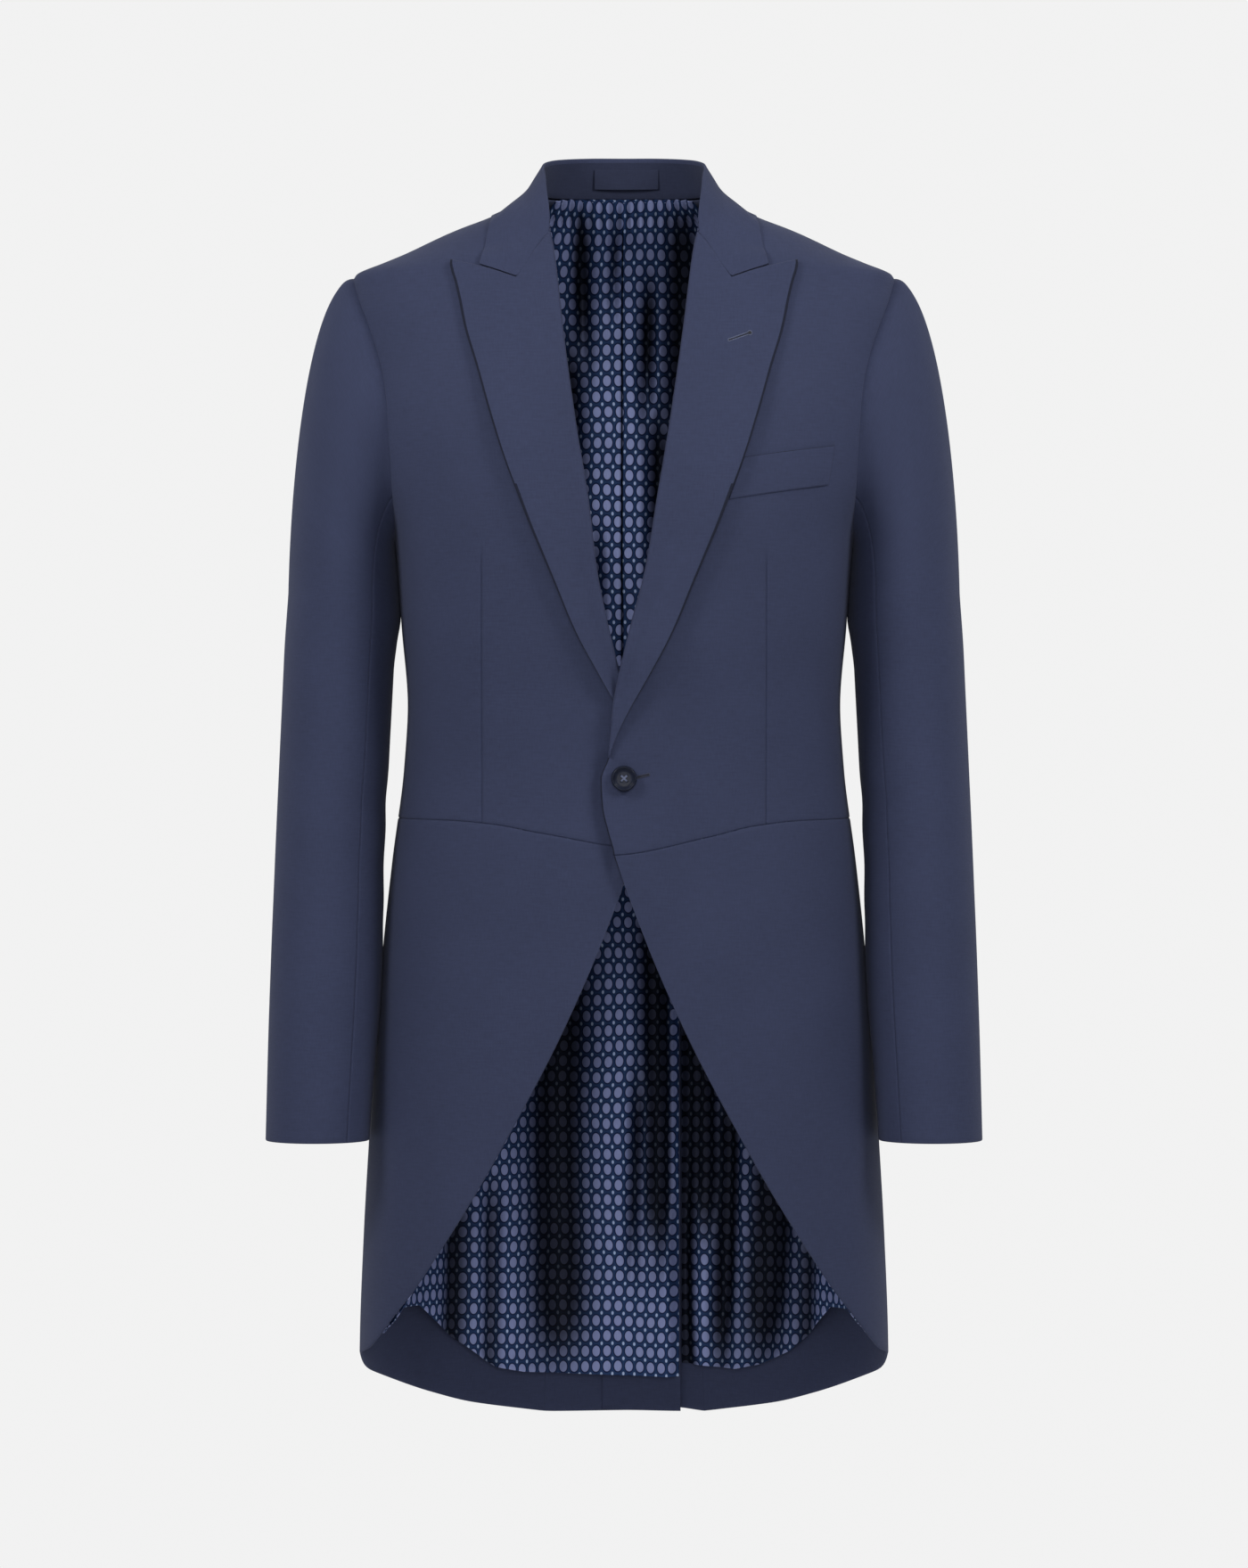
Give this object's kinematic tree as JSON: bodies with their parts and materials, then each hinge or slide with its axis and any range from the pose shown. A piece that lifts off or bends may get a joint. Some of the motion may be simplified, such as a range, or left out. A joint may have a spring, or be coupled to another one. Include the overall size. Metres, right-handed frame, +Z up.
{
  "type": "morning coat",
  "caption": "Cutaway tailcoat with peak lapels, a single front button, set-in sleeves, a patterned lining and a centre back vent, filled out as if worn.",
  "frame": {"origin": "on the centre line between the shoulders, level with the foot of the collar, where the wearer's neck and shoulders hold the coat up", "axes": "+Z up, -Y towards the front, +X towards the wearer's left"},
  "size_m": [0.5634, 0.3031, 1.0216],
  "materials": {
    "cloth": "fine navy worsted wool, smooth and matt",
    "lining": "blue satin woven with small ovals and dots",
    "button": "polished dark resin"
  },
  "bodies": {
    "root": {"forepart_left": "cloth", "forepart_right": "cloth", "side_body_left": "cloth", "side_body_right": "cloth", "back_left": "cloth", "back_right": "cloth", "skirt_left": "cloth", "skirt_right": "cloth", "vent_underlap": "cloth", "lapel_left": "cloth", "lapel_right": "cloth", "collar": "cloth", "hanger_patch": "cloth", "sleeve_head_left": "cloth", "top_sleeve_left": "cloth", "sleeve_head_right": "cloth", "top_sleeve_right": "cloth", "under_sleeve_left": "cloth", "under_sleeve_right": "cloth", "breast_welt": "cloth", "back_lining": "lining", "skirt_lining_left": "lining", "skirt_lining_right": "lining", "front_button": "button"}
  },
  "joints": []
}
